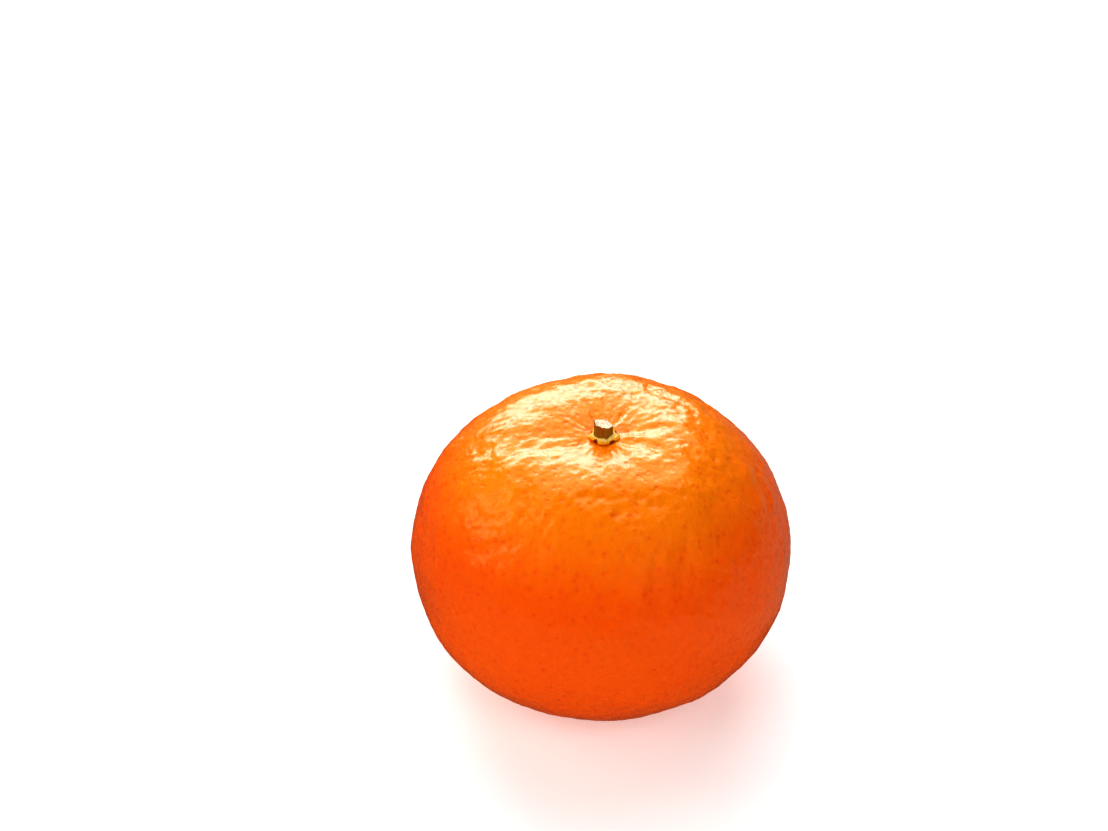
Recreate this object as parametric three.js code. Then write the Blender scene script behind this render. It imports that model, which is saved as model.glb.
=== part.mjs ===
// A whole mandarin as picked: the fruit, the five-lobed calyx in the hollow at its top, and its cut stalk.
// Millimetres, +Z up. The origin is on the surface that the fruit rests on, under the middle of the fruit.

import * as THREE from "three";

// Driving sizes of the fruit.
const RADIUS = 32; // half the widest diameter
const CROWN = 26; // height of the rounded top above the widest level, before the hollow is pressed in
const UNDERSIDE = 24.1; // depth of the rounded bottom below the widest level
const CROWN_POWER = 2.1; // 2 is an ellipse, and more is squarer
const UNDERSIDE_POWER = 2.4;
const FLATTENED = 0.45; // how much of the bottom is pressed flat where the fruit rests
const STEM_HOLLOW = { depth: 3.4, reach: 9.5 };
const STYLAR_PIT = { depth: 0.9, reach: 4 };

// The fruit isn't quite round: each entry swells the outline at so many places, by a share of the radius.
const OUT_OF_ROUND = [
  { places: 2, share: 0.006, azimuth: 35 },
  { places: 3, share: 0.005, azimuth: 80 },
  { places: 5, share: 0.0035, azimuth: 10 },
];

// Folds that run out from the stalk, one over each wall between segments. Degrees and millimetres.
const FOLDS = [
  { azimuth: 9, length: 13, depth: 0.3 },
  { azimuth: 27, length: 10, depth: 0.22 },
  { azimuth: 62, length: 7, depth: 0.12 },
  { azimuth: 104, length: 9, depth: 0.16 },
  { azimuth: 149, length: 7, depth: 0.1 },
  { azimuth: 183, length: 11, depth: 0.16 },
  { azimuth: 203, length: 14, depth: 0.32 },
  { azimuth: 219, length: 11, depth: 0.24 },
  { azimuth: 251, length: 7, depth: 0.1 },
  { azimuth: 288, length: 8, depth: 0.16 },
  { azimuth: 330, length: 11, depth: 0.26 },
];
const FOLD_START = 2.2; // distance from the stalk's middle where a fold begins
const FOLD_FULL = 4; // and where it has its whole depth
const FOLD_WIDTH = 0.9; // half width of the furrow beside the stalk
const FOLD_SPREAD = 0.07; // how much wider it gets for each millimetre outwards
const FOLD_WAVE = 1.8; // radians of the wave across a fold for each half width, which raise its lips
const FOLD_FADE = 1.5; // half widths over which the wave dies away
const FOLD_ENDS_FROM = 0.4; // share of its length where a fold starts to die out

// Soft dents in the peel, each round a point given by azimuth and latitude.
const DENTS = [
  { azimuth: 230, latitude: 37, reach: 7, depth: 0.45 },
  { azimuth: 188, latitude: 68, reach: 5, depth: 1.0 },
  { azimuth: 64, latitude: 68, reach: 4.5, depth: 0.35 },
  { azimuth: 300, latitude: -8, reach: 12, depth: 0.3 },
  { azimuth: 120, latitude: 15, reach: 13, depth: 0.45 },
  { azimuth: 5, latitude: 30, reach: 10, depth: 0.4 },
  { azimuth: 200, latitude: -30, reach: 11, depth: 0.4 },
];

// The calyx and the stalk.
const GAP = 0.3; // clearance between neighbouring pieces
const CALYX_RINGS = [0, 0.35, 0.7, 1]; // shares of the way out
const CALYX_POINTEDNESS = 1.5; // power of the cosine that draws the lobes
const CALYX_THINS_FROM = 0.5; // share of the way out where it starts to get thinner
const CALYX = { lobes: 5, notch: 2.1, tip: 2.7, thickness: 0.9, rim: 0.35, azimuth: 54 };
const STUB = { foot: 1.7, waist: 1.52, top: 1.6, height: 2.1, ribs: 5, ribShare: 0.04, cutSlope: 0.14 };
const STUB_LEAN = { azimuth: 200, degrees: 4 };

// Fineness of the meshes.
const FRUIT_MERIDIANS = 72;
const FRUIT_PARALLELS = 48;
const SMALL_STEPS = 40;

const { degToRad, smoothstep } = THREE.MathUtils;
const WIDEST_LEVEL = UNDERSIDE - FLATTENED; // height of the widest level above the surface

/** A bump of height 1 at distance 0 that dies away over reach. */
function swell(distance, reach) {
  return Math.exp(-((distance / reach) ** 2));
}

/** A point on the round body before it is marked: a superellipse in each half, turned about Z. */
function roundBody(azimuth, latitude) {
  const outwards = Math.cos(latitude);
  const upwards = Math.sin(latitude);
  const height = upwards > 0 ? CROWN : UNDERSIDE;
  const power = upwards > 0 ? CROWN_POWER : UNDERSIDE_POWER;
  const swelling = OUT_OF_ROUND.reduce(
    (sum, s) => sum + s.share * Math.cos(s.places * (azimuth - degToRad(s.azimuth))),
    1,
  );
  const sum = (outwards / (RADIUS * swelling)) ** power + (Math.abs(upwards) / height) ** power;
  const reach = sum ** (-1 / power);
  return new THREE.Vector3(
    reach * outwards * Math.cos(azimuth),
    reach * outwards * Math.sin(azimuth),
    reach * upwards,
  );
}

/** How far the folds lower the crown at a place. Each is a furrow with a raised lip on each side. */
function foldDepth(azimuth, distance) {
  const width = FOLD_WIDTH + FOLD_SPREAD * distance;
  return FOLDS.reduce((sum, fold) => {
    const turn = azimuth - degToRad(fold.azimuth);
    if (Math.cos(turn) <= 0) return sum;
    const aside = (distance * Math.sin(turn)) / width;
    const begins = smoothstep(distance, FOLD_START, FOLD_FULL);
    const ends = 1 - smoothstep(distance, FOLD_ENDS_FROM * fold.length, fold.length);
    return sum + fold.depth * begins * ends * Math.cos(FOLD_WAVE * aside) * swell(aside, FOLD_FADE);
  }, 0);
}

/** A point of the finished peel, in the part's frame. */
function peel(azimuth, latitude) {
  const point = roundBody(azimuth, latitude);
  const inwards = point.clone().normalize().negate();
  for (const dent of DENTS) {
    const middle = roundBody(degToRad(dent.azimuth), degToRad(dent.latitude));
    point.addScaledVector(inwards, dent.depth * swell(point.distanceTo(middle), dent.reach));
  }
  const distance = Math.hypot(point.x, point.y);
  if (latitude > 0) {
    point.z -= STEM_HOLLOW.depth * swell(distance, STEM_HOLLOW.reach);
    point.z -= foldDepth(azimuth, distance);
    point.z += WIDEST_LEVEL;
    return point;
  }
  const pit = Math.max(0, 1 - (distance / STYLAR_PIT.reach) ** 2) ** 2;
  point.z = Math.max(point.z + WIDEST_LEVEL, 0) + STYLAR_PIT.depth * pit;
  return point;
}

/** Height of the crown at a distance from the stalk's middle, without its folds and dents. */
function hollowHeight(distance) {
  const crown = CROWN * (1 - (distance / RADIUS) ** CROWN_POWER) ** (1 / CROWN_POWER);
  return WIDEST_LEVEL + crown - STEM_HOLLOW.depth * swell(distance, STEM_HOLLOW.reach);
}

/** Moves every vertex of a geometry to place(vertex). Shared places stay shared. */
function reshape(geometry, place) {
  const position = geometry.attributes.position;
  const vertex = new THREE.Vector3();
  for (let i = 0; i < position.count; i++) {
    const moved = place(vertex.fromBufferAttribute(position, i));
    position.setXYZ(i, moved.x, moved.y, moved.z);
  }
  geometry.deleteAttribute("normal");
  geometry.deleteAttribute("uv");
  return geometry;
}

/** A mesh with its name and material. */
function piece(name, geometry, color, roughness) {
  const mesh = new THREE.Mesh(
    geometry,
    new THREE.MeshStandardMaterial({ color, roughness, metalness: 0 }),
  );
  mesh.name = name;
  return mesh;
}

/** The fruit: a sphere's grid of directions, each carried out to the peel. */
function makeFruit() {
  const sphere = new THREE.SphereGeometry(1, FRUIT_MERIDIANS, FRUIT_PARALLELS);
  sphere.rotateX(Math.PI / 2);
  reshape(sphere, (v) => peel(Math.atan2(v.y, v.x), Math.asin(THREE.MathUtils.clamp(v.z, -1, 1))));
  return piece("fruit", sphere, 0xfa6a05, 0.38);
}

/** The calyx: a thin disc with five blunt lobes, lying in the hollow and following its slope. */
function makeCalyx() {
  const underside = CALYX_RINGS.map((share) => new THREE.Vector2(share, 0));
  const upperSide = CALYX_RINGS.toReversed().map((share) => new THREE.Vector2(share, 1));
  const disc = new THREE.LatheGeometry([...underside, ...upperSide], SMALL_STEPS);
  disc.rotateX(Math.PI / 2);
  reshape(disc, (v) => {
    const share = Math.hypot(v.x, v.y);
    const azimuth = Math.atan2(v.y, v.x);
    const halfTurn = (CALYX.lobes / 2) * (azimuth - degToRad(CALYX.azimuth));
    const lobe = Math.abs(Math.cos(halfTurn)) ** CALYX_POINTEDNESS;
    const distance = share * THREE.MathUtils.lerp(CALYX.notch, CALYX.tip, lobe);
    const thinning = smoothstep(share, CALYX_THINS_FROM, 1);
    const thickness = THREE.MathUtils.lerp(CALYX.thickness, CALYX.rim, thinning);
    const z = hollowHeight(distance) + GAP + thickness * v.z;
    return v.set(distance * Math.cos(azimuth), distance * Math.sin(azimuth), z);
  });
  return piece("calyx", disc, 0xa79a3c, 0.7);
}

/** The stub: a short ribbed stalk, wider at its foot, cut across at a slant and leaning a little. */
function makeStub() {
  const { foot, waist, top, height, ribs, ribShare, cutSlope } = STUB;
  const profile = [
    new THREE.Vector2(0, 0),
    new THREE.Vector2(foot, 0),
    new THREE.Vector2(0.94 * foot, 0.1 * height),
    new THREE.Vector2(waist, 0.4 * height),
    new THREE.Vector2(waist, 0.7 * height),
    new THREE.Vector2(top, 0.95 * height),
    new THREE.Vector2(0.93 * top, height),
    new THREE.Vector2(0, height),
  ];
  const stalk = new THREE.LatheGeometry(profile, SMALL_STEPS);
  stalk.rotateX(Math.PI / 2);
  reshape(stalk, (v) => {
    const rib = 1 + ribShare * Math.cos(ribs * Math.atan2(v.y, v.x));
    const cut = cutSlope * v.x * smoothstep(v.z, 0.5 * height, height);
    return v.set(v.x * rib, v.y * rib, v.z - cut);
  });
  const stub = piece("stem_stub", stalk, 0x7a5228, 0.85);
  const leanTo = degToRad(STUB_LEAN.azimuth);
  const leanAxis = new THREE.Vector3(-Math.sin(leanTo), Math.cos(leanTo), 0);
  stub.quaternion.setFromAxisAngle(leanAxis, degToRad(STUB_LEAN.degrees));
  const tiltRoom = foot * Math.sin(degToRad(STUB_LEAN.degrees)); // how far the lean lowers the foot's edge
  stub.position.z = hollowHeight(0) + GAP + CALYX.thickness + GAP + tiltRoom;
  return stub;
}

const mandarin = new THREE.Group();
mandarin.add(makeFruit(), makeCalyx(), makeStub());

export default mandarin;
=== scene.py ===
"""A whole mandarin on a pale floor: its pitted peel, the calyx in the hollow of its crown and its cut stalk.

The shape functions work in millimetres on a fruit drawn 64 mm across, standing on z = 0 under its own axis.
MM brings them to metres at the size that the frame gives.
"""

import math

import bpy
import numpy as np
from bpy.props import FloatProperty, FloatVectorProperty, IntProperty, PointerProperty
from bpy.types import Operator, Panel, PropertyGroup
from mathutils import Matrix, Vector


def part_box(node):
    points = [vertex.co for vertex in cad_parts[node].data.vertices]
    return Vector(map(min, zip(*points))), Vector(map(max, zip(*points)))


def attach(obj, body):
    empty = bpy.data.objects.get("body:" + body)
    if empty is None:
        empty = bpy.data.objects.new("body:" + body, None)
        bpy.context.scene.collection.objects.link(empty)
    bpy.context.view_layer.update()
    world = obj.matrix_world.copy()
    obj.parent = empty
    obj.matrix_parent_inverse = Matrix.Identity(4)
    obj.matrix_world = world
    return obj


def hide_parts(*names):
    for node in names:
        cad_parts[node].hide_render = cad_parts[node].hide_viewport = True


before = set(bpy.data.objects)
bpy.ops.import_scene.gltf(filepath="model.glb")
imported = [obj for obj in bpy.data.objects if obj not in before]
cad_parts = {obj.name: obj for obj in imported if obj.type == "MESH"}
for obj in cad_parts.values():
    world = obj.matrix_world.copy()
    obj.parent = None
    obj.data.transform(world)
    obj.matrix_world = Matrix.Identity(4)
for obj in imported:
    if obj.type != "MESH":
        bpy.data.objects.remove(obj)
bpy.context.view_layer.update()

bl_info = {
    "name": "Mandarin",
    "version": (1, 0, 0),
    "blender": (4, 5, 0),
    "location": "3D View > Sidebar > Mandarin",
    "description": "Grows a mandarin with its calyx and cut stalk, and lights it on a pale floor",
    "category": "Add Mesh",
}

# The frame's sizes, in metres.
FRUIT_LOW, FRUIT_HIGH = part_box("fruit")
STUB_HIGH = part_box("stem_stub")[1]

# The round body, in millimetres.
RADIUS = 32.0
CROWN = 26.0
UNDERSIDE = 24.1
CROWN_POWER = 2.1
UNDERSIDE_POWER = 2.4
FLATTENED = 0.45
WIDEST_LEVEL = UNDERSIDE - FLATTENED
HOLLOW_DEPTH, HOLLOW_REACH = 3.4, 9.5
PIT_DEPTH, PIT_REACH = 0.9, 4.0
MM = (FRUIT_HIGH.x - FRUIT_LOW.x) / (2 * RADIUS)
SPLINTER_ROOM = 1.0  # how far below the frame's highest point the middle of the cut lies, in millimetres

# Swellings of the outline: how many round the fruit, share of the radius, azimuth of the first in degrees.
OUT_OF_ROUND = ((2, 0.006, 35), (3, 0.005, 80), (5, 0.0035, 10))
# Folds that run out from the stalk: azimuth in degrees, length and depth in millimetres.
FOLDS = (
    (9, 13, 0.3), (27, 10, 0.22), (62, 7, 0.12), (104, 9, 0.16), (149, 7, 0.1), (183, 11, 0.16),
    (203, 14, 0.32), (219, 11, 0.24), (251, 7, 0.1), (288, 8, 0.16), (330, 11, 0.26),
)
FOLD_START, FOLD_FULL = 2.2, 4.0
FOLD_WIDTH, FOLD_SPREAD = 0.9, 0.07
FOLD_WAVE, FOLD_FADE, FOLD_ENDS_FROM = 1.8, 1.5, 0.4
# Soft dents: azimuth and latitude in degrees, reach and depth in millimetres.
DENTS = (
    (230, 37, 7, 0.45), (188, 68, 5, 1.0), (64, 68, 4.5, 0.35), (300, -8, 12, 0.3),
    (120, 15, 13, 0.45), (5, 30, 10, 0.4), (200, -30, 11, 0.4),
)
# Larger pits on the front shoulder: azimuth and latitude in degrees, radius and depth in millimetres.
PITS = (
    (257, 55, 1.3, 0.3), (267, 55.5, 1.2, 0.28), (262, 54, 2.0, 0.2), (289.5, 54, 1.1, 0.26),
    (295, 51, 1.2, 0.28), (276, 49.5, 1.1, 0.24), (269.5, 46, 0.9, 0.15), (253, 45.5, 0.9, 0.13),
    (299, 43, 0.9, 0.12), (235, 43.5, 2.1, 0.15), (233.5, 38.5, 2.2, 0.17), (232, 33, 2.1, 0.13),
)

MERIDIANS, PARALLELS = 440, 226  # the peel's grid, 198,000 triangles
GOLDEN_ANGLE = math.pi * (3 - math.sqrt(5))

# The calyx, in millimetres, with azimuths in degrees.
FIRST_LOBE = 54
LONG_SIDE, LONG_SIDE_BY = -20, 0.2  # the side that the calyx reaches farther to, and how much
CALYX_LIFT = 0.04  # height of its underside above the peel
CALYX_THICKNESS, CALYX_THINNEST = 0.5, 0.15

# The stalk, in millimetres, with azimuths in degrees.
FOOT_LIFT = 0.5  # height of its foot above the bottom of the hollow
CUT_SLOPE, CUT_FALLS_TO = 0.3, 42
SPLINTER_AT, SPLINTER_HALF_WIDTH = 193, 0.36  # the half width is in radians

# The stage, in metres and degrees.
PITCH = 36.9  # how far down the camera looks
FLOOR_HALF = 3.0
FLOOR_GLOW = 0.21
SURROUNDING = 0.08  # strength of the light from all round
ROSY, AMBER = (1.0, 0.9, 0.95), (1.0, 0.88, 0.7)  # tints of the lamps
CARD_FAR = 0.44  # how far to the right the low cards reach


# ---------------------------------------------------------------- properties


class PeelSettings(PropertyGroup):
    """Sizes and colours of the peel."""

    gland_spacing: FloatProperty(
        name="Gland spacing", description="Distance between neighbouring oil glands",
        default=1.5 * MM, min=1e-3, unit="LENGTH",
    )
    gland_radius: FloatProperty(
        name="Gland radius", description="Radius of the pinhole over an oil gland on the sides",
        default=0.3 * MM, min=1e-4, unit="LENGTH",
    )
    dimple_depth: FloatProperty(
        name="Dimple depth", description="Depth of the larger dimples on the shoulder",
        default=0.1 * MM, min=0, unit="LENGTH",
    )
    orange: FloatVectorProperty(
        name="Orange", description="Colour of most of the peel",
        subtype="COLOR", default=(0.92, 0.157, 0.0015),
    )
    # The golden colour is also painted light: up the crown it stands for the lamps above lighting the top.
    golden: FloatVectorProperty(
        name="Golden", description="Lighter colour in patches and round the stalk",
        subtype="COLOR", default=(0.97, 0.36, 0.004),
    )
    russet: FloatVectorProperty(
        name="Russet", description="Deeper colour in the glands' pinholes",
        subtype="COLOR", default=(0.78, 0.072, 0.001),
    )
    roughness: FloatProperty(
        name="Roughness", description="Roughness of the waxy surface",
        default=0.27, min=0, max=1, subtype="FACTOR",
    )


class CalyxSettings(PropertyGroup):
    """Sizes and colours of the calyx."""

    lobes: IntProperty(name="Lobes", description="Number of sepals", default=5, min=3, max=8)
    tip: FloatProperty(
        name="Tip radius", description="Distance from the axis to the end of a lobe",
        default=2.65 * MM, unit="LENGTH",
    )
    notch: FloatProperty(
        name="Notch radius", description="Distance from the axis to the notch between two lobes",
        default=2.25 * MM, unit="LENGTH",
    )
    green: FloatVectorProperty(
        name="Green", description="Green tinge on the lobes", subtype="COLOR", default=(0.36, 0.34, 0.03),
    )
    straw: FloatVectorProperty(
        name="Straw", description="Colour of the lobes", subtype="COLOR", default=(0.95, 0.48, 0.03),
    )
    cream: FloatVectorProperty(
        name="Cream", description="Pale ring round the stalk", subtype="COLOR", default=(1.0, 0.74, 0.28),
    )
    # Brown also paints the shade in the notches between the lobes.
    brown: FloatVectorProperty(
        name="Brown", description="Colour of the dry edges and cracks",
        subtype="COLOR", default=(0.28, 0.05, 0.01),
    )


class StalkSettings(PropertyGroup):
    """Sizes and colours of the stalk."""

    radius: FloatProperty(
        name="Radius", description="Radius of the stalk at its waist", default=1.52 * MM, unit="LENGTH",
    )
    splinter: FloatProperty(
        name="Splinter", description="Height of the torn point of bark above the cut",
        default=0.6 * MM, min=0, unit="LENGTH",
    )
    bark: FloatVectorProperty(
        name="Bark", description="Colour of the bark", subtype="COLOR", default=(0.42, 0.17, 0.035),
    )
    olive: FloatVectorProperty(
        name="Olive", description="Green tinge on the bark", subtype="COLOR", default=(0.36, 0.27, 0.03),
    )
    wood: FloatVectorProperty(
        name="Cut wood", description="Colour of the cut end", subtype="COLOR", default=(0.93, 0.82, 0.64),
    )


class StageSettings(PropertyGroup):
    """Camera, floor and light."""

    lens: FloatProperty(name="Lens", description="Focal length", default=65, unit="CAMERA")
    floor: FloatVectorProperty(
        name="Floor", description="Colour of the floor", subtype="COLOR", default=(0.78, 0.78, 0.78),
    )
    backlight: FloatProperty(
        name="Back light", description="Power of the large panel behind", default=3.6, min=0, unit="POWER",
    )
    window: FloatProperty(
        name="Window", description="Power of the window at the left", default=0.55, min=0, unit="POWER",
    )
    overhead: FloatProperty(
        name="Overhead", description="Power of the panel above", default=2.15, min=0, unit="POWER",
    )
    card: FloatProperty(
        name="Card", description="Power of each low card at the right", default=0.06, min=0, unit="POWER",
    )
    fill: FloatProperty(
        name="Fill", description="Power of the soft light in front", default=2.05, min=0, unit="POWER",
    )


# -------------------------------------------------------------- shape of the peel


def swell(distance, reach):
    """A bump of height 1 that falls away as exp(-(distance / reach) squared)."""
    return np.exp(-((distance / reach) ** 2))


def ease(value, low, high):
    """0 below low, 1 above high, and 3t squared minus 2t cubed in between."""
    t = np.clip((value - low) / (high - low), 0, 1)
    return t * t * (3 - 2 * t)


def unit(vectors):
    """The vectors at length 1."""
    return vectors / np.linalg.norm(vectors, axis=-1, keepdims=True)


def polar(azimuth, latitude):
    """The direction of length 1 at an azimuth and a latitude."""
    level = np.cos(latitude)
    return np.stack([level * np.cos(azimuth), level * np.sin(azimuth), np.sin(latitude)], axis=-1)


def round_body(azimuth, latitude):
    """The unmarked body: along each direction, the reach r with (r cos / radius)^p + (r sin / height)^p = 1.

    The height and the power p differ between crown and underside, and cosine swellings vary the radius.
    """
    level, up = np.cos(latitude), np.sin(latitude)
    height = np.where(up > 0, CROWN, UNDERSIDE)
    power = np.where(up > 0, CROWN_POWER, UNDERSIDE_POWER)
    radius = RADIUS * (1 + sum(s * np.cos(n * (azimuth - math.radians(at))) for n, s, at in OUT_OF_ROUND))
    reach = ((level / radius) ** power + (np.abs(up) / height) ** power) ** (-1 / power)
    return reach[..., None] * polar(azimuth, latitude)


def fold_depth(azimuth, distance):
    """How far the folds lower the crown: cosine furrows with raised lips, faded in and out along their length."""
    width = FOLD_WIDTH + FOLD_SPREAD * distance
    total = np.zeros_like(distance)
    for at, length, depth in FOLDS:
        turn = azimuth - math.radians(at)
        aside = distance * np.sin(turn) / width
        begins = ease(distance, FOLD_START, FOLD_FULL)
        along = begins * (1 - ease(distance, FOLD_ENDS_FROM * length, length))
        total += depth * along * np.cos(FOLD_WAVE * aside) * swell(aside, FOLD_FADE) * (np.cos(turn) > 0)
    return total


def smooth_peel(azimuth, latitude):
    """The peel before its fine relief: the round body with dents, hollow, folds, flat spot and stylar pit."""
    points = round_body(azimuth, latitude)
    inwards = -unit(points)
    for at, level, reach, depth in DENTS:
        middle = round_body(np.array(math.radians(at)), np.array(math.radians(level)))
        dent = depth * swell(np.linalg.norm(points - middle, axis=-1), reach)
        points = points + inwards * dent[..., None]
    distance = np.hypot(points[..., 0], points[..., 1])
    crown = points[..., 2] - HOLLOW_DEPTH * swell(distance, HOLLOW_REACH) - fold_depth(azimuth, distance)
    pit = np.clip(1 - (distance / PIT_REACH) ** 2, 0, None) ** 2
    base = np.maximum(points[..., 2] + WIDEST_LEVEL, 0) + PIT_DEPTH * pit
    points[..., 2] = np.where(latitude > 0, crown + WIDEST_LEVEL, base)
    return points


def hollow_height(distance):
    """Height of the crown's middle at a distance from the axis, without folds and dents."""
    crown = CROWN * (1 - (distance / RADIUS) ** CROWN_POWER) ** (1 / CROWN_POWER)
    return WIDEST_LEVEL + crown - HOLLOW_DEPTH * swell(distance, HOLLOW_REACH)


# -------------------------------------------------------------- fine relief


def ripples(points, wavelength, rng, waves=40):
    """A smooth random field with a spread of about 1: cosine waves of about this length in random directions."""
    heading = unit(rng.normal(size=(waves, 3))) * rng.uniform(0.7, 1.4, (waves, 1))
    phase = rng.uniform(0, 2 * math.pi, waves)
    return np.cos(points @ heading.T * (2 * math.pi / wavelength) + phase).sum(-1) * math.sqrt(2 / waves)


def scattered(spacing, wander, rng):
    """Azimuths and latitudes about spacing apart: a golden-angle spiral, each place nudged at random."""
    count = int(4 * math.pi * (0.9 * RADIUS) ** 2 / (0.87 * spacing**2))
    step = np.arange(count) + 0.5
    spiral = polar(step * GOLDEN_ANGLE, np.arcsin(1 - 2 * step / count))
    places = unit(spiral + rng.normal(scale=wander * spacing / RADIUS, size=(count, 3)))
    return np.arctan2(places[:, 1], places[:, 0]), np.arcsin(places[:, 2])


def nearest(directions, sites):
    """For each direction, the number of the site with the largest dot product with it."""
    parts = np.array_split(directions.astype(np.float32), 60)
    across = sites.astype(np.float32).T
    return np.concatenate([np.argmax(part @ across, axis=1) for part in parts])


def creases(azimuth, distance, rng):
    """Fine creases that radiate from the stalk: cosines of whole numbers of turns that drift outwards."""
    turns = np.arange(9, 33)
    phase = rng.uniform(0, 2 * math.pi, turns.size)
    drift = rng.normal(scale=0.35, size=turns.size)
    waves = np.cos(azimuth[:, None] * turns + phase + distance[:, None] * drift).sum(-1)
    waves = waves * math.sqrt(2 / turns.size)
    return waves * ease(distance, 2.8, 4.5) * (1 - ease(distance, 7, 13))


class Glands:
    """Scattered round marks on the peel, such as the pinholes over its oil glands.

    Each has a place, a radius and a strength between 0 and 1, drawn at random round the given means.
    """

    def __init__(self, spacing, wander, rng, radius, strength):
        azimuth, latitude = scattered(spacing, wander, rng)
        self.direction = polar(azimuth, latitude)
        self.place = smooth_peel(azimuth, latitude)
        self.radius = radius(latitude) * rng.uniform(0.75, 1.25, azimuth.size)
        self.strength = np.clip(strength(latitude) * rng.uniform(0.1, 1.3, azimuth.size) ** 2, 0, 1)

    def hollows(self, points, directions, widened=1.0):
        """How deep a mark is at each point, from 0 to its strength: (1 - (distance / radius) squared) squared."""
        number = nearest(directions, self.direction)
        share = np.linalg.norm(points - self.place[number], axis=-1) / (widened * self.radius[number])
        return self.strength[number] * np.clip(1 - share**2, 0, None) ** 2


# -------------------------------------------------------------- meshes


def skin_faces(rows, columns):
    """Corners of the quads between rings of points, and of the triangles that close the first and last ring.

    Points are numbered ring by ring, and the two poles come last.
    """
    ring = np.arange(rows)[:, None] * columns
    here, ahead = np.arange(columns), np.roll(np.arange(columns), -1)
    low, high = ring[:-1], ring[1:]
    quads = np.stack([low + here, low + ahead, high + ahead, high + here], axis=-1).reshape(-1, 4)
    first, last = rows * columns, rows * columns + 1
    bottom = np.stack([np.full(columns, first), ahead, here], axis=-1)
    top = np.stack([ring[-1] + here, ring[-1] + ahead, np.full(columns, last)], axis=-1)
    return quads, np.concatenate([bottom, top])


def closed_skin(name, rings, poles):
    """A closed smooth mesh from rings of points, as rows by columns by xyz in millimetres, and its two poles.

    Rings run anticlockwise seen from above, the first nearest the lower pole, so that faces point outwards.
    """
    rows, columns = rings.shape[:2]
    quads, triangles = skin_faces(rows, columns)
    corners = np.concatenate([quads.ravel(), triangles.ravel()]).astype(np.int32)
    sizes = np.concatenate([np.full(len(quads), 4), np.full(len(triangles), 3)])
    points = np.concatenate([rings.reshape(-1, 3), np.asarray(poles)]) * MM
    mesh = bpy.data.meshes.new(name)
    mesh.vertices.add(len(points))
    mesh.vertices.foreach_set("co", points.astype(np.float32).ravel())
    mesh.loops.add(len(corners))
    mesh.loops.foreach_set("vertex_index", corners)
    mesh.polygons.add(len(sizes))
    mesh.polygons.foreach_set("loop_start", (np.cumsum(sizes) - sizes).astype(np.int32))
    mesh.polygons.foreach_set("use_smooth", np.ones(len(sizes), bool))
    mesh.update(calc_edges=True)
    if mesh.validate():
        raise RuntimeError(f"the mesh of {name} had faults")
    piece = bpy.data.objects.new(name, mesh)
    bpy.context.scene.collection.objects.link(piece)
    return piece


def paint(piece, name, values, domain="POINT"):
    """Stores numbers or vectors on the mesh under a name that a material reads."""
    kind, key = ("FLOAT", "value") if values.ndim == 1 else ("FLOAT_VECTOR", "vector")
    attribute = piece.data.attributes.new(name, kind, domain)
    attribute.data.foreach_set(key, values.astype(np.float32).ravel())


def settle(piece, material, node):
    """Gives a finished piece its material and its body, and hides the imported part of the node that it stands
    for.
    """
    piece.data.materials.append(material)
    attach(piece, "root")
    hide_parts(node)


# -------------------------------------------------------------- shader writing


class Wire:
    """A socket's output, with the arithmetic that the materials are written in."""

    def __init__(self, tree, socket=None):
        self.tree = tree
        self.socket = socket

    def node(self, kind, settings=None, inputs=None, output=0):
        """A new node: its settings first, then its sockets by name or number, and the chosen output."""
        made = self.tree.nodes.new(kind)
        for name, value in (settings or {}).items():
            setattr(made, name, value)
        for key, value in (inputs or {}).items():
            if isinstance(value, Wire):
                self.tree.links.new(value.socket, made.inputs[key])
            else:
                made.inputs[key].default_value = value
        return Wire(self.tree, made.outputs[output])

    def math(self, operation, *values):
        """A Math node."""
        return self.node("ShaderNodeMath", {"operation": operation}, dict(enumerate(values)))

    def __add__(self, other):
        return self.math("ADD", self, other)

    def __sub__(self, other):
        return self.math("SUBTRACT", self, other)

    def __rsub__(self, other):
        return self.math("SUBTRACT", other, self)

    def __mul__(self, other):
        return self.math("MULTIPLY", self, other)

    __radd__ = __add__
    __rmul__ = __mul__

    def eased(self, low, high):
        """0 below low, 1 above high, smooth in between. low may be the larger, which turns it round."""
        settings = {"interpolation_type": "SMOOTHSTEP"}
        ends = {"Value": self, "From Min": min(low, high), "From Max": max(low, high)}
        ends.update({"To Min": float(low > high), "To Max": float(low < high)})
        return self.node("ShaderNodeMapRange", settings, ends)

    def mixed(self, first, second):
        """The colour between first, where this is 0, and second, where it is 1."""
        inputs = {0: self, 6: colour(first), 7: colour(second)}
        return self.node("ShaderNodeMix", {"data_type": "RGBA"}, inputs, 2)

    def stored(self, name, output="Fac"):
        """What the mesh stores under this name."""
        return self.node("ShaderNodeAttribute", {"attribute_name": name}, output=output)

    def length(self):
        """Length of a vector."""
        return self.node("ShaderNodeVectorMath", {"operation": "LENGTH"}, {0: self}, "Value")

    def noise(self, size, detail=2.0, roughness=0.5, stretch=None):
        """Noise between 0 and 1 in Object coordinates, with blotches of this many millimetres."""
        place = self.node("ShaderNodeTexCoord", output="Object")
        if stretch:
            place = self.node("ShaderNodeMapping", None, {"Vector": place, "Scale": stretch})
        inputs = {"Vector": place, "Scale": 1 / (size * MM), "Detail": detail, "Roughness": roughness}
        return self.node("ShaderNodeTexNoise", None, inputs)


def colour(value):
    """A colour for a socket: a Wire as it is, and three numbers with an alpha of 1."""
    return value if isinstance(value, Wire) else (*tuple(value)[:3], 1.0)


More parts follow.
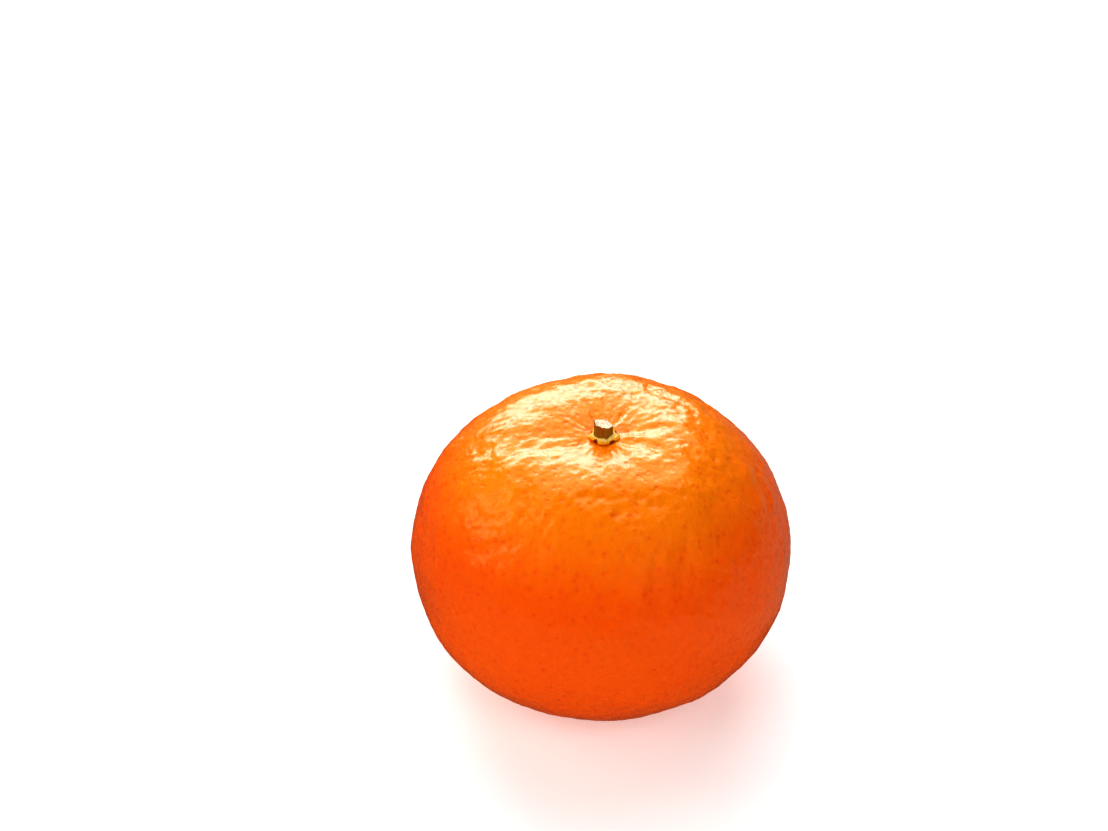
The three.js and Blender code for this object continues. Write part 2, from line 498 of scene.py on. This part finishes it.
def surface(name, constants, build):
    """A material with a Principled shader: constants on its sockets, and what build(wire) returns linked.

    build also returns "Height", in millimetres, which goes through a Bump node.
    """
    material = bpy.data.materials.new(name)
    material.use_nodes = True
    tree = material.node_tree
    shader = next(n for n in tree.nodes if n.type == "BSDF_PRINCIPLED")
    for socket, value in constants.items():
        shader.inputs[socket].default_value = value
    varying = build(Wire(tree))
    height = varying.pop("Height")
    bump = {"Height": height, "Distance": MM, "Strength": 1.0}
    varying["Normal"] = height.node("ShaderNodeBump", None, bump)
    for socket, wire in varying.items():
        tree.links.new(wire.socket, shader.inputs[socket])
    return material


# -------------------------------------------------------------- the fruit


def shoulder(latitude):
    """1 on the crown and shoulder, fading to 0 below the widest level."""
    return ease(latitude, math.radians(-12), math.radians(32))


def grow_peel(settings):
    """The peel on a grid of azimuths and latitudes, moved along its normals by the fine relief.

    The relief adds broad unevenness, pebbling, creases round the stalk, shallow dimples, a soft funnel over
    each oil gland and the larger pits.
    """
    rng = np.random.default_rng(20)
    azimuth, latitude = np.meshgrid(
        np.arange(MERIDIANS) * 2 * math.pi / MERIDIANS,
        (np.arange(1, PARALLELS) / PARALLELS - 0.5) * math.pi,
    )
    points = smooth_peel(azimuth, latitude)
    eastwards = np.roll(points, -1, axis=1) - np.roll(points, 1, axis=1)
    normals = unit(np.cross(eastwards, np.gradient(points, axis=0)))
    directions = polar(azimuth, latitude)

    glands = Glands(
        settings.gland_spacing / MM, 0.2, rng,
        lambda latitude: settings.gland_radius / MM * (1 + 0.5 * shoulder(latitude)), lambda latitude: 0.6,
    )
    dimples = Glands(
        3.1, 0.35, rng, lambda latitude: 1.25, lambda latitude: 0.35 + 0.65 * shoulder(latitude),
    )

    flat, ways = points.reshape(-1, 3), directions.reshape(-1, 3)
    distance = np.hypot(flat[:, 0], flat[:, 1])
    above = shoulder(latitude).ravel()
    near_stalk = 0.25 + 0.75 * ease(distance, 3, 13)
    relief = 0.08 * ripples(flat, 11, rng)
    relief += (0.02 + 0.014 * above) * near_stalk * ripples(flat, 2.6, rng)
    relief += 0.075 * above * near_stalk * ripples(flat, 5.5, rng) + 0.018 * ripples(flat, 1.3, rng)
    relief += 0.026 * creases(azimuth.ravel(), distance, rng) * (latitude.ravel() > 0)
    relief -= settings.dimple_depth / MM * near_stalk * dimples.hollows(flat, ways)
    relief -= (0.02 + 0.015 * above) * glands.hollows(flat, ways, widened=2.1)
    relief -= pit_depth(flat)
    rings = points + normals * relief.reshape(azimuth.shape)[..., None]
    rings[..., 2] = np.maximum(rings[..., 2], 0)

    poles = smooth_peel(np.zeros(2), np.array([-math.pi / 2, math.pi / 2]))
    piece = closed_skin("fruit_skin", rings, poles)
    ways = np.concatenate([ways, [[0, 0, -1], [0, 0, 1]]])
    mark_glands(piece, glands, ways, np.concatenate([flat, poles]))
    return piece


def pit_depth(points):
    """Depth of the larger pits: each falls off as (1 - (distance / radius) squared) squared."""
    total = np.zeros(len(points))
    for at, level, radius, depth in PITS:
        middle = smooth_peel(np.array(math.radians(at)), np.array(math.radians(level)))
        share = np.linalg.norm(points - middle, axis=-1) / radius
        total += depth * np.clip(1 - share**2, 0, None) ** 2
    return total


def mark_glands(piece, glands, directions, points):
    """Stores, for each face's corners, the way from the face's nearest gland in shares of the gland's radius.

    A face keeps to one gland, so the way is exact all over it, and a pinhole is round however coarse the grid.
    """
    quads, triangles = skin_faces(PARALLELS - 1, MERIDIANS)
    ways, strengths = [], []
    for faces in (quads, triangles):
        number = nearest(unit(directions[faces].mean(axis=1)), glands.direction)
        way = (points[faces] - glands.place[number][:, None]) / glands.radius[number][:, None, None]
        ways.append(way.reshape(-1, 3))
        strengths.append(glands.strength[number])
    paint(piece, "gland", np.concatenate(ways), "CORNER")
    paint(piece, "gland_strength", np.concatenate(strengths), "FACE")


def peel_material(settings):
    """Waxy peel: orange with golden patches, painted light that turns it golden up the crown where the lamps
    above fall on it, darker pinholes and a fine grain in its gloss.
    """

    def build(wire):
        strength = wire.stored("gland_strength")
        share = wire.stored("gland", "Vector").length()
        pinhole = share.eased(1.0, 0.25) * strength
        halo = share.eased(2.6, 0.8) * strength
        patches = wire.noise(16, 3.0, 0.55).eased(0.35, 0.7)
        mottle = wire.noise(2.2, 3.0, 0.6)
        grain = wire.noise(0.28, 2.0, 0.6)
        place = wire.node("ShaderNodeTexCoord", output="Object")
        height = wire.node("ShaderNodeSeparateXYZ", None, {0: place}, 2)
        # Painted light: the peel turns golden towards the top of the crown, standing in for the lamps above that
        # light it.
        crown = height.eased((WIDEST_LEVEL + 8) * MM, (WIDEST_LEVEL + CROWN - 2) * MM)
        gold_and_light = patches * 0.06 + mottle * 0.16 + crown * 0.6 - halo * 0.05
        peel = gold_and_light.eased(0.0, 1.0).mixed(settings.orange, settings.golden)
        return {
            "Base Color": (pinhole * 0.24 + halo * 0.04).mixed(peel, settings.russet),
            "Roughness": settings.roughness + mottle * 0.1 - 0.05 + pinhole * 0.12,
            "Height": grain * 0.014 + wire.noise(0.9, 2.0, 0.55) * 0.15 - pinhole * 0.07 - halo * 0.025,
        }

    constants = {
        "Subsurface Weight": 0.12,
        "Subsurface Radius": (1.0, 0.3, 0.06),
        "Subsurface Scale": 1.6 * MM,
        "Specular IOR Level": 0.4,
        "Coat Weight": 0.3,
        "Coat Roughness": 0.14,
        "IOR": 1.45,
    }
    return surface("mandarin_peel", constants, build)


# -------------------------------------------------------------- the calyx


def grow_calyx(settings):
    """The calyx: rings from the middle of its underside out to the lobed rim and back over the top.

    The outline falls from tip to notch with the sine of the angle from a lobe's axis. The top rises to a collar
    under the stalk, with a rib along each lobe, wrinkles across it and a curled edge.
    """
    rng = np.random.default_rng(5)
    columns, rows = 200, 30
    azimuth = np.arange(columns) * 2 * math.pi / columns
    tip, notch = settings.tip / MM, settings.notch / MM
    ragged = 0.05 * np.cos(7 * azimuth + 1) + 0.04 * np.cos(13 * azimuth) + 0.02 * np.cos(31 * azimuth + 2)
    half_turn = settings.lobes / 2 * (azimuth - math.radians(FIRST_LOBE))
    aside = np.sqrt(np.sin(half_turn) ** 2 + 0.01)
    longer = LONG_SIDE_BY * np.cos(azimuth - math.radians(LONG_SIDE))
    rim = tip - (tip - notch) * aside**1.3 + ragged + longer
    lobe = 1 - aside

    share = np.sin(np.arange(1, rows + 1) / rows * math.pi / 2)[:, None]
    distance = share * rim
    flat = np.stack([distance * np.cos(azimuth), distance * np.sin(azimuth)], axis=-1)
    bed = hollow_height(distance)
    field = np.concatenate([flat, np.zeros((*flat.shape[:2], 1))], axis=-1)
    collar = 0.28 * (1 - ease(distance, 1.5, 2.2))
    rib = 0.16 * swell(aside, 0.28) * ease(share, 0.4, 0.7)
    wrinkles = 0.05 * ripples(field, 0.55, rng) + 0.035 * np.cos(34 * azimuth) * ease(share, 0.5, 0.9)
    thickness = CALYX_THICKNESS + collar + rib + wrinkles - 0.25 * ease(share, 0.8, 1.0)
    thickness = np.maximum(thickness, CALYX_THINNEST)
    curl = 0.06 * ease(share, 0.8, 1.0) * (0.4 + lobe)
    under = np.concatenate([flat, (bed + CALYX_LIFT + curl)[..., None]], axis=-1)
    over = np.concatenate([flat, (bed + CALYX_LIFT + curl + thickness)[..., None]], axis=-1)
    edge = 0.5 * (under[-1:] + over[-1:]) * [1.012, 1.012, 1]
    rings = np.concatenate([under, edge, over[::-1]])
    poles = [[0, 0, hollow_height(0.0) + CALYX_LIFT], [0, 0, over[0, :, 2].mean()]]
    piece = closed_skin("calyx_lobes", rings, poles)
    shares = np.concatenate([share, share[-1:], share[::-1]]) * np.ones(columns)
    paint(piece, "outwards", np.append(shares.ravel(), [0, 0]))
    paint(piece, "lobe", np.append(np.tile(lobe, len(rings)), [0, 0]))
    return piece


def calyx_material(settings):
    """Dry sepals: cream round the stalk, straw with a green tinge farther out, brown in specks and at the
    withered rim, with brown painted shade in the notches between the lobes.
    """

    def build(wire):
        outwards, lobe = wire.stored("outwards"), wire.stored("lobe")
        specks = wire.noise(0.5, 4.0, 0.65)
        blotch = wire.noise(1.6, 2.0, 0.5)
        greenness = (outwards.eased(0.95, 0.6) + blotch.eased(0.45, 0.62)) * 0.6
        sepal = (greenness.eased(0.2, 0.9) * 0.45).mixed(settings.straw, settings.green)
        sepal = outwards.eased(0.93, 0.78).mixed(sepal, settings.cream)
        # Painted shade: the outer ends of the notches between the lobes turn brown where they meet the peel.
        notch_shade = lobe.eased(0.18, 0.02) * outwards.eased(0.82, 0.93)
        dry_and_shade = outwards.eased(0.95, 1.0) * 0.4 + notch_shade * 0.85 + specks.eased(0.58, 0.72) * 0.5
        return {
            "Base Color": dry_and_shade.eased(0.1, 1.0).mixed(sepal, settings.brown),
            "Roughness": 0.55 + specks * 0.3,
            "Height": specks * 0.05 + wire.noise(0.15, 2.0, 0.6) * 0.015,
        }

    constants = {"Specular IOR Level": 0.3, "Subsurface Weight": 0.08, "Subsurface Scale": 0.4 * MM}
    return surface("dry_calyx", constants, build)


# -------------------------------------------------------------- the stalk


def grow_stalk(settings):
    """The stalk: rings up its ribbed bark from a flared foot, over the rim and in across the cut end.

    The bark's radius is the waist plus a flare at foot and rim, with cosine ribs and furrows. The cut end
    slopes, is raised round the pith, and one point of bark stands above its rim.
    """
    rng = np.random.default_rng(9)
    columns = 180
    azimuth = np.arange(columns) * 2 * math.pi / columns
    waist = settings.radius / MM
    foot = hollow_height(0.0) + FOOT_LIFT
    top = STUB_HIGH.z / MM - SPLINTER_ROOM
    ribs = 0.035 * np.cos(5 * azimuth) + 0.02 * np.cos(11 * azimuth + 1) + 0.014 * np.cos(23 * azimuth + 2)
    cut = top - CUT_SLOPE * np.cos(azimuth - math.radians(CUT_FALLS_TO)) * waist
    cut = cut + 0.05 * np.cos(9 * azimuth) + 0.04 * np.cos(17 * azimuth + 1)
    turn = np.abs((azimuth - math.radians(SPLINTER_AT) + math.pi) % (2 * math.pi) - math.pi)
    torn = settings.splinter / MM * np.clip(1 - turn / SPLINTER_HALF_WIDTH, 0, None) ** 1.3

    climb = np.linspace(0, 1, 46)[:, None]
    flare = 0.16 * swell(climb, 0.16) + 0.06 * ease(climb, 0.75, 1.0)
    side_radius = waist + flare + ribs * waist
    side_height = foot + climb * (cut + torn - foot)
    side = stacked(side_radius, azimuth, side_height)
    knots = ripples(side * [1, 1, 0.35], 0.8, rng)
    side = stacked(side_radius + 0.03 * knots * (1 - 0.6 * climb), azimuth, side_height)

    inwards = np.linspace(0.93, 0.04, 24)[:, None]
    rim = waist + 0.06 + ribs * waist
    level = cut + (top - cut) * (1 - inwards)
    fibres = 0.05 * np.cos(26 * azimuth) * inwards * ease(inwards, 0.2, 0.6)
    pith = -0.12 * swell(inwards, 0.16) + 0.05 * swell(inwards - 0.3, 0.1)
    face_height = level + torn * ease(inwards, 0.75, 1.0) + fibres + pith - 0.05
    face = stacked(inwards * rim, azimuth, face_height)
    face[..., 2] += 0.035 * ripples(face, 0.5, rng)
    rings = np.concatenate([side, face])
    poles = [[0, 0, foot], [0, 0, face[-1, :, 2].mean()]]
    piece = closed_skin("stalk_stub", rings, poles)
    shares = np.concatenate([np.zeros((len(climb), 1)), 1 - 0.5 * inwards]) * np.ones(columns)
    climbs = np.concatenate([climb, np.ones_like(inwards)]) * np.ones(columns)
    paint(piece, "cut", np.append(shares.ravel(), [0, 1]))
    paint(piece, "climb", np.append(climbs.ravel(), [0, 1]))
    return piece


def stacked(radius, azimuth, height):
    """Points at a radius and a height round the axis, from arrays that may be broadcast."""
    radius, azimuth, height = np.broadcast_arrays(radius, azimuth, height)
    return np.stack([radius * np.cos(azimuth), radius * np.sin(azimuth), height], axis=-1)


def stalk_material(settings):
    """Ribbed bark with olive streaks, and a pale fibrous cut end that darkens at its rim and pith."""

    def build(wire):
        cut, climb = wire.stored("cut"), wire.stored("climb")
        streaks = wire.noise(0.45, 4.0, 0.6, stretch=(1, 1, 0.25))
        specks = wire.noise(0.22, 3.0, 0.7)
        bark = streaks.eased(0.35, 0.65).mixed(settings.bark, settings.olive)
        dark = climb.eased(0.25, 0.0) * 0.7 + specks.eased(0.55, 0.75) * 0.5
        bark = dark.mixed(bark, (0.09, 0.03, 0.008))
        tanned = specks.eased(0.45, 0.75) * 0.4 + cut.eased(0.56, 0.5) * 0.5
        wood = tanned.mixed(settings.wood, (0.6, 0.4, 0.2))
        pith = cut.eased(0.93, 0.98)
        return {
            "Base Color": cut.eased(0.3, 0.5).mixed(bark, (pith * 0.7).mixed(wood, (0.3, 0.16, 0.06))),
            "Roughness": 0.62 + specks * 0.3,
            "Height": streaks * 0.1 + specks * 0.03,
        }

    return surface("cut_stalk", {"Specular IOR Level": 0.12}, build)


# -------------------------------------------------------------- the stage


def glow(name, power, size, place, target, tint=(1, 1, 1)):
    """A rectangular area light at a place, facing the target. Sizes and places are in metres."""
    lamp = bpy.data.lights.new(name, "AREA")
    lamp.color = tint
    lamp.shape = "RECTANGLE"
    lamp.size, lamp.size_y = size
    lamp.energy = power
    light = bpy.data.objects.new(name, lamp)
    light.location = place
    light.rotation_euler = (Vector(target) - Vector(place)).to_track_quat("-Z", "Y").to_euler()
    light.visible_camera = False
    bpy.context.scene.collection.objects.link(light)
    return light


def around(distance, azimuth, elevation, middle):
    """The place at a distance from the middle, with azimuth in degrees from +Y towards +X, and an elevation."""
    turn, rise = math.radians(azimuth), math.radians(elevation)
    level = distance * math.cos(rise)
    return middle + Vector((level * math.sin(turn), level * math.cos(turn), distance * math.sin(rise)))


def set_camera(settings, middle):
    """A level camera in front, looking down. The fruit's middle stands a little right of and below its axis."""
    pitch = math.radians(PITCH)
    depth, aside, below = 340 * MM, 8.0 * MM, 21.6 * MM
    ahead = Vector((0, math.cos(pitch), -math.sin(pitch)))
    down = Vector((0, -math.sin(pitch), -math.cos(pitch)))
    camera = bpy.data.objects.new("camera", bpy.data.cameras.new("camera"))
    camera.data.lens = settings.lens
    camera.data.sensor_width = 36
    camera.data.clip_start = 0.01
    camera.location = middle - depth * ahead - below * down - aside * Vector((1, 0, 0))
    camera.rotation_euler = (math.pi / 2 - pitch, 0, 0)
    bpy.context.scene.collection.objects.link(camera)
    bpy.context.scene.camera = camera


def lay_floor(settings):
    """A wide flat floor just under the fruit, matt and barely uneven, that glows faintly and isn't mirrored."""
    half = FLOOR_HALF
    low = FRUIT_LOW.z - 0.02 * MM
    mesh = bpy.data.meshes.new("studio_floor")
    corners = [(x, y, low) for x, y in ((-half, -half), (half, -half), (half, half), (-half, half))]
    mesh.from_pydata(corners, [], [(0, 1, 2, 3)])
    floor = bpy.data.objects.new("studio_floor", mesh)
    floor.visible_glossy = False
    bpy.context.scene.collection.objects.link(floor)

    def build(wire):
        grain = wire.noise(3.0, 3.0, 0.6)
        shade = [0.97 * channel for channel in settings.floor]
        return {"Base Color": grain.mixed(settings.floor, shade), "Height": grain * 0.02}

    constants = {
        "Roughness": 0.9,
        "Specular IOR Level": 0.1,
        "Emission Color": (1, 1, 1, 1),
        "Emission Strength": FLOOR_GLOW,
    }
    mesh.materials.append(surface("pale_floor", constants, build))


def set_world(strength):
    """A plain white surrounding."""
    world = bpy.data.worlds.new("surrounding")
    world.use_nodes = True
    background = next(n for n in world.node_tree.nodes if n.type == "BACKGROUND")
    background.inputs["Color"].default_value = (1, 1, 1, 1)
    background.inputs["Strength"].default_value = strength
    bpy.context.scene.world = world


# -------------------------------------------------------------- operators and panel


class MANDARIN_OT_stage(Operator):
    """Set the camera, the floor and the lights"""

    bl_idname = "mandarin.stage"
    bl_label = "Set the stage"

    def execute(self, context):
        settings = context.scene.mandarin_stage
        middle = Vector((0, 0, FRUIT_LOW.z + WIDEST_LEVEL * MM))
        set_camera(settings, middle)
        lay_floor(settings)
        set_world(SURROUNDING)
        glow("back_panel", settings.backlight, (0.7, 0.36), around(0.75, -8, 24, middle), middle, ROSY)
        glow("overhead_panel", settings.overhead, (0.9, 0.62), around(0.8, -2, 60, middle), middle, ROSY)
        glow("left_window", settings.window, (0.26, 0.34), around(0.75, -84, 38, middle), middle, AMBER)
        for name, near in (("near_card", 0.04), ("far_card", 0.09)):
            place = Vector(((near + CARD_FAR) / 2, -0.06, 0.002))
            card = glow(name, settings.card, (CARD_FAR - near, 0.4), place, place + Vector((0, 0, 1)))
            card.visible_diffuse = False
        fills = (
            glow("front_fill", settings.fill, (0.6, 0.6), around(0.9, 152, 38, middle), middle),
            glow("left_fill", 0.6 * settings.fill, (0.5, 0.5), around(0.8, 235, 36, middle), middle),
        )
        for fill in fills:
            fill.visible_glossy = False
        context.scene.view_settings.view_transform = "Standard"
        context.scene.view_settings.look = "Very High Contrast"
        return {"FINISHED"}


class MANDARIN_OT_fruit(Operator):
    """Grow the fruit with its pitted peel"""

    bl_idname = "mandarin.fruit"
    bl_label = "Grow the fruit"

    def execute(self, context):
        settings = context.scene.mandarin_peel
        settle(grow_peel(settings), peel_material(settings), "fruit")
        return {"FINISHED"}


class MANDARIN_OT_calyx(Operator):
    """Grow the calyx in the hollow of the crown"""

    bl_idname = "mandarin.calyx"
    bl_label = "Grow the calyx"

    def execute(self, context):
        settings = context.scene.mandarin_calyx
        settle(grow_calyx(settings), calyx_material(settings), "calyx")
        return {"FINISHED"}


class MANDARIN_OT_stalk(Operator):
    """Grow the stalk and cut it off short"""

    bl_idname = "mandarin.stalk"
    bl_label = "Grow the stalk"

    def execute(self, context):
        settings = context.scene.mandarin_stalk
        settle(grow_stalk(settings), stalk_material(settings), "stem_stub")
        return {"FINISHED"}


class MANDARIN_PT_panel(Panel):
    """Lists the settings and the operators"""

    bl_label = "Mandarin"
    bl_space_type = "VIEW_3D"
    bl_region_type = "UI"
    bl_category = "Mandarin"

    def draw(self, context):
        for name, operator in STEPS:
            box = self.layout.box()
            settings = getattr(context.scene, name)
            for key in settings.__annotations__:
                box.prop(settings, key)
            box.operator(operator.bl_idname)


STEPS = (
    ("mandarin_stage", MANDARIN_OT_stage),
    ("mandarin_peel", MANDARIN_OT_fruit),
    ("mandarin_calyx", MANDARIN_OT_calyx),
    ("mandarin_stalk", MANDARIN_OT_stalk),
)
SETTINGS = {
    "mandarin_stage": StageSettings,
    "mandarin_peel": PeelSettings,
    "mandarin_calyx": CalyxSettings,
    "mandarin_stalk": StalkSettings,
}
CLASSES = (*SETTINGS.values(), *(operator for _, operator in STEPS), MANDARIN_PT_panel)


def register():
    for cls in CLASSES:
        bpy.utils.register_class(cls)
    for name, group in SETTINGS.items():
        setattr(bpy.types.Scene, name, PointerProperty(type=group))


def unregister():
    for name in SETTINGS:
        delattr(bpy.types.Scene, name)
    for cls in reversed(CLASSES):
        bpy.utils.unregister_class(cls)


def main():
    """Registers the classes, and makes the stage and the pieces."""
    register()
    bpy.ops.mandarin.stage()
    bpy.ops.mandarin.fruit()
    bpy.ops.mandarin.calyx()
    bpy.ops.mandarin.stalk()


if __name__ == "__main__":
    main()
